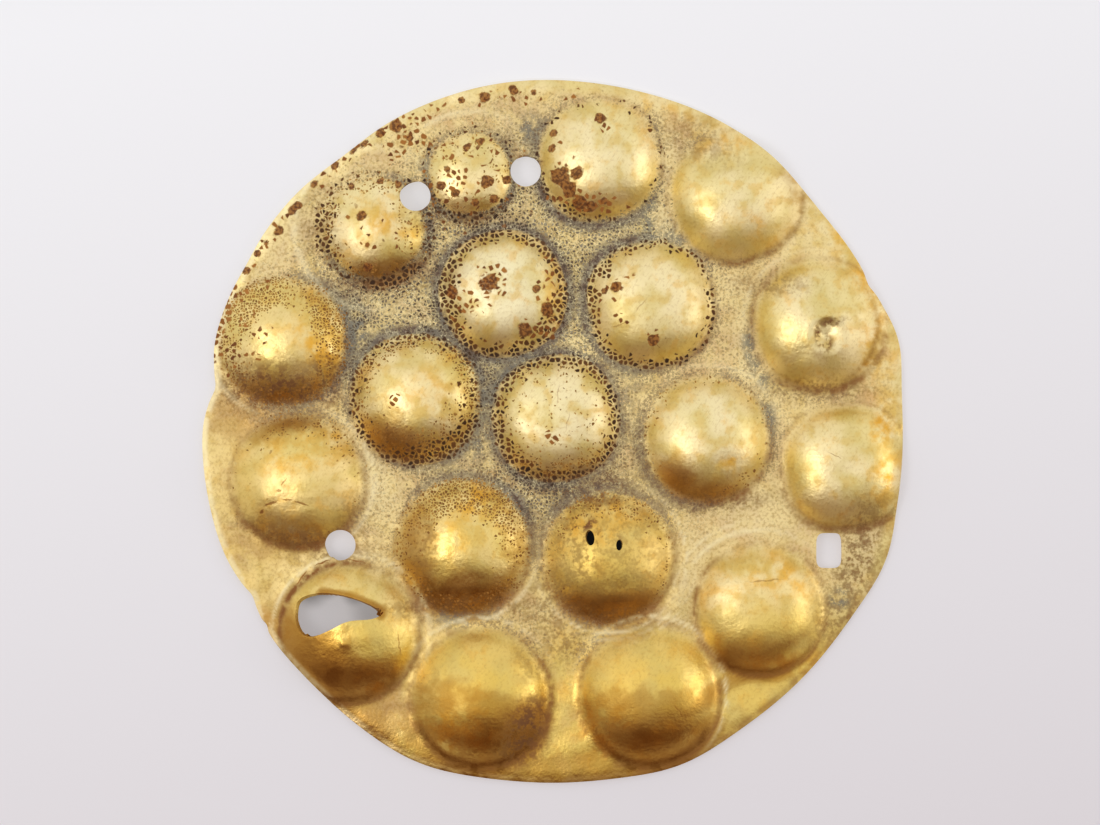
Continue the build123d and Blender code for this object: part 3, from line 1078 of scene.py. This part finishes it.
def skin(table, x, y):
    """How much of the cracked skin there is at each place."""
    total = np.zeros_like(x)
    for band in table:
        share, bearing = around_boss(band.boss, x, y)
        fade = 1 - eased(share, band.outer - 0.06, band.outer + 0.06)
        ring = eased(share, band.inner - 0.10, band.inner + 0.12) * fade
        wide = eased(share, band.extra_inner - 0.10, band.extra_inner + 0.15) * fade
        more = facing(bearing, band.toward, band.spread) * band.extra
        total = np.max([total, ring * band.around, wide * more], axis=0)
    return np.minimum(total, 1)


# What lies at and round the bosses: painted brown shade on their lower sides, which reaches up
# further on the lowest ones, the lines at their feet, which are partly painted shade, the bright
# ridges there, and the field between them
skirt = 1.15  # how much wider than their golden tops two bosses' dirty skirts are
plan = places[:, 0].copy(), places[:, 1].copy()
nearest = np.full(len(places), 9.0)
under, lines_and_shade, ridges_and_highlight, spots = np.zeros((4, len(places)))
for boss in BOSSES:
    share, bearing = around_boss(boss, *plan)
    nearest = np.minimum(nearest, share * (skirt if boss in DIRTY_BOSSES else 1))
    # under is painted brown shade on each boss's lower side, reaching further up on the lowest bosses
    deep = eased(-boss.y, 0.60, 0.72)
    low_side = facing(bearing, -95, 55 + 20 * deep) * (1 - eased(share, 1.02, 1.22))
    low_side = low_side * eased(share, 0.45 - 0.40 * deep, 0.90 - 0.25 * deep)
    under = np.maximum(under, low_side * (0.24 + 1.0 * eased(-boss.y, 0.10, 0.40)))
    # A brown line round every foot, partly painted shade, that is darker toward the lower right
    outlined = bell((share - 1.03) / 0.035) * (0.25 + 0.45 * facing(bearing, -70, 110))
    lines_and_shade = np.maximum(lines_and_shade, outlined)
for line in FOOT_LINES:
    lines_and_shade = np.maximum(lines_and_shade, line_round(line, foot_line_width, *plan) * line.strength)
for ring in RINGS:
    crest = line_round(ring, 0.55 * ring.width, *plan)
    ridges_and_highlight = np.maximum(ridges_and_highlight, crest * np.clip(ring.height / 0.10, 0, 1))
# Painted shadow along the upper edge of each thread hole
for hole in THREAD_HOLES:
    hole_x, hole_y = plan[0] - hole.x * disc_radius, plan[1] - hole.y * disc_radius
    punched = bell((np.hypot(hole_x, hole_y) - thread_hole_radius) / (0.22 * MM))
    lines_and_shade = np.maximum(lines_and_shade, punched * facing(bearing_of(hole_x, hole_y), 80, 80))
for rust in RUST_SPOTS:
    from_rust = np.hypot(plan[0] - rust.x * disc_radius / 1000, plan[1] - rust.y * disc_radius / 1000)
    spots = np.maximum(spots, bell(from_rust / (1.25 * rust.radius * disc_radius / 1000)))
field_part = eased(nearest, 0.86, 1.04)

# The rim, rubbed clean but for its left side, its outer line with a painted highlight at the left and
# painted shade at the lower right, and painted shadow along the tear's upper edge
rim_bearing = bearing_of(*plan)
from_middle = np.hypot(*plan) / (disc_radius * edge_share(rim_bearing))
rubbed_rim = eased(from_middle, 0.955, 0.985) * (1 - 0.75 * facing(rim_bearing, 180, 40))
# The rim's outer line, painted as a highlight at the left and as shade at the lower right
rim_line = eased(from_middle, 0.978, 0.990)
# A painted shadow along the upper edge of the tear
tear_left = boss_place(TORN_BOSS, tear_at[0] - 0.25, tear_at[1])
upper_rim = [place for place in tear_outline() if place[0] > tear_left[0] and place[1] > tear_left[1]]
tear_shadow = off_points(upper_rim, *plan) / (0.42 * MM)
clean = patches(CLEAN_RUB, *plan)
grey = patches(GREY_DIRT, *plan)
cream = patches(CREAM_DIRT, *plan) * field_part
dark = patches(DARK_DIRT, *plan) * field_part
foot_line = bell((nearest - 1.07) / 0.11) * (0.15 + grey)
open_field = field_part * (1 - 0.85 * clean) * (1 - 0.8 * rubbed_rim)
MASKS = {
    "dirt": open_field * (0.12 + 0.74 * grey + 0.50 * foot_line + 0.40 * dark) * (1 - 0.75 * cream),
    "foot": foot_line * field_part * 1.2,
    "grey": grey,
    "blue": patches(BLUE_DIRT, *plan) * eased(nearest, 0.92, 1.04),
    "film": open_field,
    "brown": patches(BROWN_DIRT, *plan),
    # lines: brown lines round the feet that are partly painted shade, painted shadow at the thread holes'
    # upper edges, and painted shade on the rim's outer line at the lower right
    "lines_and_shade": np.maximum(lines_and_shade, rim_line * facing(rim_bearing, -55, 45) * 0.55),
    # ridges: rubbed crests of the rings, and a painted highlight on the rim's outer line at the left
    "ridges_and_highlight": np.maximum(ridges_and_highlight, rim_line * facing(rim_bearing, 180, 60)),
    "cream": cream,
    "dark": dark,
    "pale": patches(PALE_WEAR, *plan) * (1 - field_part),
    "dull": patches(DULL_WEAR, *plan),
    "rich": patches(RICH_GOLD, *plan),
    # stain: brown stains, with painted shade on the bosses' lower sides and painted shadow along the
    # tear's upper edge
    "stain_and_shade": patches(BROWN_STAIN_AND_SHADE, *plan) + 0.68 * under + 1.4 * bell(tear_shadow),
    "orange": patches(ORANGE, *plan),
    "skin": skin(COARSE_SKIN, *plan),
    "fine_skin": skin(FINE_SKIN, *plan),
    "flecks": patches(RUST_FLECKS, *plan),
    "spots": spots,
    "rub": np.maximum(clean, rubbed_rim),
}
CAPPED = {"dirt", "foot", "grey", "stain_and_shade", "rub"}  # those that stop at 1
for name, values in MASKS.items():
    kept = net.attributes.new(name, "FLOAT", "POINT")
    kept.data.foreach_set("value", np.clip(values, 0, 1 if name in CAPPED else 9).astype(np.float32))

# The thickness of the sheet, and its worn edges. The sharp edges are those of the rim and the
# holes, where the front and the back meet the cut
edge_round = 0.12 * MM
sharp_from = math.radians(60)
smooth_below = math.radians(50)
disc.vertex_groups.new(name="edges")
thicken = disc.modifiers.new("thickness", "SOLIDIFY")
thicken.thickness = sheet
thicken.offset = -1
thicken.rim_vertex_group = "edges"
bpy.ops.object.modifier_apply(modifier=thicken.name)
bpy.ops.object.mode_set(mode="EDIT")
bpy.ops.mesh.select_mode(type="EDGE")
bpy.ops.mesh.select_all(action="DESELECT")
bpy.ops.mesh.edges_select_sharp(sharpness=sharp_from)
bpy.ops.mesh.bevel(offset=edge_round, segments=2, profile=0.5, clamp_overlap=True)
bpy.ops.object.mode_set(mode="OBJECT")
bpy.ops.object.shade_smooth_by_angle(angle=smooth_below)
lowest = min(v.co.z for v in net.vertices)
for vertex in net.vertices:
    vertex.co.z += solid_low.z - lowest

# The metal and what lies on it. Gold shows through grey dirt in grains, through dark skin as a
# net of cracks, and bare where it is rubbed
gold, gold_shader, surface = new_material("old_gold")
gold_tree = gold.node_tree


def sum_up(operation, *values, clamp=True):
    """The result of a Math node, as a rule kept between 0 and 1."""
    tree = next(value.id_data for value in values if is_socket(value))
    return joined(put_node(tree, "ShaderNodeMath", {"operation": operation, "use_clamp": clamp}), *values)


def times(one, other):
    """One value times another."""
    return sum_up("MULTIPLY", one, other)


def plus(start, value, share=None):
    """Start with a value on top, or with a share of it."""
    return sum_up("ADD", start, value if share is None else times(value, share))


def minus(one, other):
    """One value less another."""
    return sum_up("SUBTRACT", one, other)


def but(value, cover, share=None):
    """What is left of a value under a cover, or under a share of the cover."""
    return times(value, minus(1.0, cover if share is None else times(cover, share)))


def highest(value, *others):
    """The highest of some values."""
    for other in others:
        value = sum_up("MAXIMUM", value, other)
    return value


def layered(colour, *layers):
    """A colour under layers, each with its cover and its own colour."""
    for cover, paint in layers:
        colour = mixed(cover, colour, paint)
    return colour


def noise(place, scale, detail=2.0):
    """Flat noise with so many grains to the metre: its value, and its colour."""
    made = put_node(place.id_data, "ShaderNodeTexNoise", {"noise_dimensions": "2D"}, Detail=detail)
    feed(made.inputs["Vector"], place)
    feed(made.inputs["Scale"], scale)
    return made.outputs[0], made.outputs["Color"]


def laid_along(place, lean, scale, middle=None):
    """Places seen from a middle, turned and drawn out."""
    made = put_node(place.id_data, "ShaderNodeMapping", {"vector_type": "TEXTURE"})
    return joined(made, place, middle, (0, 0, math.radians(lean)), scale)


def grain(size, detail, stretch=1, lean=0):
    """Noise with grains of a size in metres, also drawn out along a line."""
    place = laid_along(surface, lean, (stretch, 1, 1)) if stretch > 1 else surface
    return noise(place, 1 / size, detail)[0]


def mask(name):
    """One of the values kept in the mesh."""
    return put_node(gold_tree, "ShaderNodeAttribute", {"attribute_name": name}).outputs["Fac"]


def skin_group():
    """Cracked skin: dark cells with gold cracks between, that shrink and drop out as it thins."""
    group = bpy.data.node_groups.new("cracked_skin", "ShaderNodeTree")
    for name, kind, way in (
        ("Place", "Vector", "INPUT"),
        ("Cover", "Float", "INPUT"),
        ("Cells", "Float", "INPUT"),
        ("Skin", "Float", "OUTPUT"),
        ("Shade", "Float", "OUTPUT"),
    ):
        group.interface.new_socket(name=name, in_out=way, socket_type="NodeSocket" + kind)
    given = put_node(group, "NodeGroupInput").outputs
    result = put_node(group, "NodeGroupOutput").inputs
    ragged = noise(given["Place"], given["Cells"], 0.0)[1]
    shifted = vector_math("MULTIPLY_ADD", ragged, (0.16 * MM,) * 3, given["Place"])[0]
    cracks, cells = (
        put_node(group, "ShaderNodeTexVoronoi", {"feature": feature, "voronoi_dimensions": "2D"})
        for feature in ("DISTANCE_TO_EDGE", "F1")
    )
    for voronoi in (cracks, cells):
        feed(voronoi.inputs["Vector"], shifted)
        feed(voronoi.inputs["Scale"], given["Cells"])
    chance = put_node(group, "ShaderNodeSeparateColor")
    feed(chance.inputs[0], cells.outputs["Color"])
    broken = noise(given["Place"], 1 / (1.1 * MM), 1.0)[0]
    cover = times(given["Cover"], plus(0.70, soft_step(broken, 0.28, 0.62), 0.55))
    crack_width = put_node(group, "ShaderNodeMapRange", To_Min=0.22, To_Max=0.03)
    in_cell = minus(cracks.outputs["Distance"], joined(crack_width, cover))
    filled = but(soft_step(in_cell, -0.02, 0.12), soft_step(cells.outputs["Distance"], 0.34, 0.60))
    grown = sum_up("MULTIPLY", cover, 1.5, clamp=False)
    there = soft_step(sum_up("SUBTRACT", grown, chance.outputs[0], clamp=False), 0.0, 0.08)
    feed(result["Skin"], times(filled, there))
    feed(result["Shade"], chance.outputs[1])
    return group


cracked = skin_group()


def skin_layer(cover, cell):
    """One layer of the skin, with cells of a size in metres."""
    made = put_node(gold_tree, "ShaderNodeGroup", {"node_tree": cracked}, Cells=1 / cell)
    feed(made.inputs["Place"], surface)
    feed(made.inputs["Cover"], cover)
    return made.outputs["Skin"], made.outputs["Shade"]


cloud = grain(5 * MM, 2)
patchy = grain(3.2 * MM, 2)
mottle = grain(1.2 * MM, 3)
winding = grain(0.42 * MM, 3)
fine = grain(0.28 * MM, 3)
dust = grain(0.13 * MM, 1)
grained = plus(times(fine, 0.55), dust, 0.45)
dirt, foot, grey, film = mask("dirt"), mask("foot"), mask("grey"), mask("film")
skin_cover, stain_and_shade, orange = mask("skin"), mask("stain_and_shade"), mask("orange")
cream, rich = mask("cream"), mask("rich")

# The gold itself, paler or redder from place to place
pale_gold = (0.94, 0.78, 0.42)
green_gold = (0.87, 0.71, 0.31)
rich_gold = (0.83, 0.59, 0.145)
worn_gold = (0.95, 0.87, 0.58)
deep_gold = (0.86, 0.51, 0.10)
reddened = plus(times(orange, soft_step(mottle, 0.30, 0.60)), soft_step(mottle, 0.50, 0.72), 0.35)
metal = layered(
    mixed(soft_step(cloud, 0.38, 0.66), pale_gold, green_gold),
    (times(rich, 0.85), rich_gold),
    (times(mask("pale"), 0.85), worn_gold),
    (reddened, deep_gold),
    (times(soft_step(grain(0.11 * MM, 1, stretch=10, lean=58), 0.62, 0.76), 0.14), (0.50, 0.30, 0.08)),
    (times(soft_step(grain(2.4 * MM, 2), 0.40, 0.72), 0.60), (0.73, 0.59, 0.23)),
    (times(soft_step(fine, 0.50, 0.76), 0.22), (0.50, 0.31, 0.09)),
)

# Dirt: a thin beige film all over the field, and thicker dirt in grains on it, with fine threads
# of gold left bare between them
film_cover = plus(plus(0.36, soft_step(mottle, 0.30, 0.66), 0.28), cream, 0.3)
film_cover = times(film, but(film_cover, rich, 0.6))
film_colour = layered(
    mixed(soft_step(cloud, 0.40, 0.60), (0.81, 0.64, 0.27), (0.74, 0.56, 0.34)),
    (cream, (0.92, 0.79, 0.45)),
    (times(soft_step(fine, 0.46, 0.64), 0.50), (0.50, 0.33, 0.13)),
)
dirt_from = minus(minus(0.86, times(dirt, 0.72)), 0.08)
bare_threads = times(sum_up("COMPARE", winding, 0.5, 0.032), soft_step(cloud, 0.30, 0.50))
skin_zone = soft_step(skin_cover, 0.35, 0.80)
dirt_cover = times(soft_step(minus(grained, dirt_from), 0.0, 0.14), soft_step(dirt, 0.0, 0.12))
dirt_cover = times(dirt_cover, plus(0.35, foot, 0.75))
dirt_cover = but(dirt_cover, highest(times(but(bare_threads, foot), 0.85), skin_zone))
greyness = soft_step(grey, 0.15, 0.60)
blotched = soft_step(mottle, 0.35, 0.65)
beige = mixed(blotched, (0.50, 0.36, 0.18), (0.70, 0.56, 0.32))
ashen = mixed(blotched, (0.38, 0.33, 0.22), (0.60, 0.54, 0.38))
blue_cover = times(mask("blue"), soft_step(mottle, 0.28, 0.55))
dirt_colour = layered(
    mixed(greyness, beige, ashen),
    (times(times(soft_step(patchy, 0.44, 0.66), 0.55), grey), (0.22, 0.18, 0.14)),
    (times(times(soft_step(grained, 0.50, 0.62), plus(0.25, grey)), 0.85), (0.16, 0.12, 0.085)),
    (minus(1.0, soft_step(grained, 0.32, 0.42)), (0.86, 0.76, 0.48)),
    (times(times(mask("dark"), soft_step(mottle, 0.32, 0.58)), 0.85), (0.13, 0.095, 0.08)),
    (times(foot, soft_step(mottle, 0.40, 0.66)), (0.17, 0.12, 0.09)),
    (times(blue_cover, 0.9), (0.27, 0.265, 0.22)),
)
dirt_cover = highest(dirt_cover, times(blue_cover, soft_step(grained, 0.34, 0.48)))
lace, lace_shade = skin_layer(times(dirt, 0.72), 0.31 * MM)
lace_light = mixed(greyness, (0.52, 0.38, 0.21), (0.38, 0.33, 0.24))
lace_dark = mixed(greyness, (0.34, 0.22, 0.11), (0.13, 0.10, 0.07))
lace_colour = mixed(soft_step(cloud, 0.35, 0.65), mixed(lace_shade, lace_dark, lace_light), lace_dark)
lace_cover = but(times(lace, plus(0.14, grey, 1.2)), skin_zone)
specked = but(times(film, plus(0.10, grey, 1.1)), soft_step(patchy, 0.44, 0.58), 0.70)
specked = but(specked, foot, 0.6)
dark_specks = times(soft_step(grain(0.22 * MM, 3), 0.56, 0.62), times(specked, 0.60))
gold_threads = times(sum_up("COMPARE", winding, 0.435, 0.022), times(specked, 0.85))

# Stain, a brown film that lets the metal through, which also carries painted shade on the bosses'
# lower sides and painted shadow along the tear's upper edge; brown dirt in blotches; lines round the
# feet that are partly painted shade; and ridges that are rubbed bright, with a painted highlight on
# the rim at the left
stain_and_shade = but(stain_and_shade, orange, 0.6)
stain_and_shade_cover = times(stain_and_shade, soft_step(plus(stain_and_shade, mottle, 0.9), 0.55, 1.20))
blotch = plus(times(grain(0.9 * MM, 2), 0.6), fine, 0.4)
brown_cover = times(mask("brown"), plus(0.20, soft_step(blotch, 0.40, 0.60), 0.80))
lines_and_shade_cover = times(mask("lines_and_shade"), plus(0.45, soft_step(mottle, 0.34, 0.58), 0.55))
worn_ridge_and_highlight = times(mask("ridges_and_highlight"), soft_step(mottle, 0.26, 0.56))

# Scratches and creases that hold a line of dirt. Columns: x and y of the middle in shares of
# disc_radius, half the length and width in mm, the bearing in degrees, and how dark each is
Scratch = namedtuple("Scratch", "x y length width lean dark")
SCRATCHES = [
    Scratch(0.80, -0.064, 0.80, 0.07, -27, 0.45),
    Scratch(0.60, -0.42, 1.80, 0.09, 4, 0.45),
    Scratch(-0.797, -0.20, 0.90, 0.15, 20, 0.7),
    Scratch(-0.751, -0.191, 0.60, 0.12, -4, 0.7),
    Scratch(-0.709, -0.201, 0.80, 0.12, -19, 0.7),
    Scratch(-0.825, -0.225, 0.30, 0.20, 60, 0.7),
    Scratch(-0.775, -0.165, 0.25, 0.16, 30, 0.6),
    Scratch(-0.80, -0.055, 0.25, 0.14, 70, 0.5),
    Scratch(-0.76, -0.14, 0.50, 0.08, 60, 0.6),
    Scratch(0.016, 0.107, 1.10, 0.07, 84, 0.35),
    Scratch(0.044, 0.033, 0.90, 0.07, 78, 0.35),
    Scratch(0.193, 0.307, 0.90, 0.07, 18, 0.4),
    Scratch(0.293, 0.25, 0.80, 0.07, -35, 0.35),
    Scratch(0.25, 0.36, 1.00, 0.06, 50, 0.3),
    Scratch(-0.715, -0.415, 0.9, 0.09, 52, 0.8),
    Scratch(-0.655, -0.372, 0.8, 0.09, 22, 0.8),
    Scratch(-0.56, -0.365, 1.0, 0.09, -12, 0.6),
    Scratch(-0.435, -0.60, 1.2, 0.10, -85, 0.5),
    Scratch(0.36, -0.79, 0.8, 0.08, -58, 0.4),
]
bend = 0.3 * MM
bent = vector_math("MULTIPLY_ADD", noise(surface, 1 / (2 * bend))[1], (bend, bend, 0), surface)[0]
scratched = []
for line in SCRATCHES:
    middle = (line.x * disc_radius + bend / 2, line.y * disc_radius + bend / 2, 0)
    seen = laid_along(bent, line.lean, (line.length * MM, line.width * MM, 1), middle)
    off_line = vector_math("LENGTH", seen)["Value"]
    scratched.append(times(minus(1.0, soft_step(off_line, 0.45, 1.0)), line.dark))

# Skin and rust: dark crusts with the gold showing in their cracks, finer brown ones, and spots
coarse, coarse_shade = skin_layer(skin_cover, 0.44 * MM)
thin, thin_shade = skin_layer(mask("fine_skin"), 0.25 * MM)
fleck, fleck_shade = skin_layer(mask("flecks"), 0.58 * MM)
skin_colour = mixed(coarse_shade, (0.075, 0.040, 0.018), (0.25, 0.12, 0.035))
skin_colour = mixed(times(dirt, 0.5), skin_colour, (0.085, 0.065, 0.055))
spots = soft_step(plus(mask("spots"), soft_step(mottle, 0.30, 0.70), 0.32), 0.52, 0.72)

colour = layered(
    metal,
    # brown stain, which also paints shade on lower sides and shadow at the tear's upper edge
    (stain_and_shade_cover, (0.42, 0.20, 0.03)),
    (film_cover, film_colour),
    (brown_cover, (0.25, 0.13, 0.055)),
    # brown lines, partly painted shade and shadow
    (lines_and_shade_cover, (0.32, 0.16, 0.055)),
    (dirt_cover, dirt_colour),
    (lace_cover, lace_colour),
    (dark_specks, (0.13, 0.09, 0.06)),
    (gold_threads, (0.92, 0.82, 0.48)),
    # rubbed ridges, with a painted highlight on the left of the rim
    (times(worn_ridge_and_highlight, 0.75), (0.98, 0.88, 0.56)),
    (highest(*scratched), (0.32, 0.13, 0.035)),
    (thin, mixed(thin_shade, (0.26, 0.14, 0.045), (0.54, 0.31, 0.09))),
    (coarse, skin_colour),
    (fleck, mixed(fleck_shade, (0.20, 0.085, 0.030), (0.46, 0.22, 0.065))),
    (times(spots, 0.92), mixed(soft_step(fine, 0.40, 0.60), (0.40, 0.19, 0.055), (0.17, 0.065, 0.022))),
)
covered = highest(
    but(highest(dirt_cover, lace_cover), worn_ridge_and_highlight),
    coarse,
    fleck,
    film_cover,
    times(thin, 0.8),
    times(spots, 0.9),
    times(brown_cover, 0.8),
    times(lines_and_shade_cover, 0.8),
    times(mask("dull"), 0.28),
)
rough = plus(0.37, soft_step(mottle, 0.35, 0.70), 0.10)
rough = plus(minus(rough, times(mask("rub"), 0.08)), covered, 0.45)

# The surface: a fine grain all over
relief = put_node(gold_tree, "ShaderNodeBump", Strength=1.0, Distance=0.036 * MM)
feed(relief.inputs["Height"], plus(times(fine, 0.60), mottle, 0.3))
for name, value in (
    ("Base Color", colour),
    ("Metallic", minus(1.0, covered)),
    ("Roughness", rough),
    ("Normal", relief.outputs["Normal"]),
):
    feed(gold_shader.inputs[name], value)
gold_shader.inputs["Specular IOR Level"].default_value = 0.3
net.materials.clear()
net.materials.append(gold)

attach(disc, "root")
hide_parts("embossed_disc")
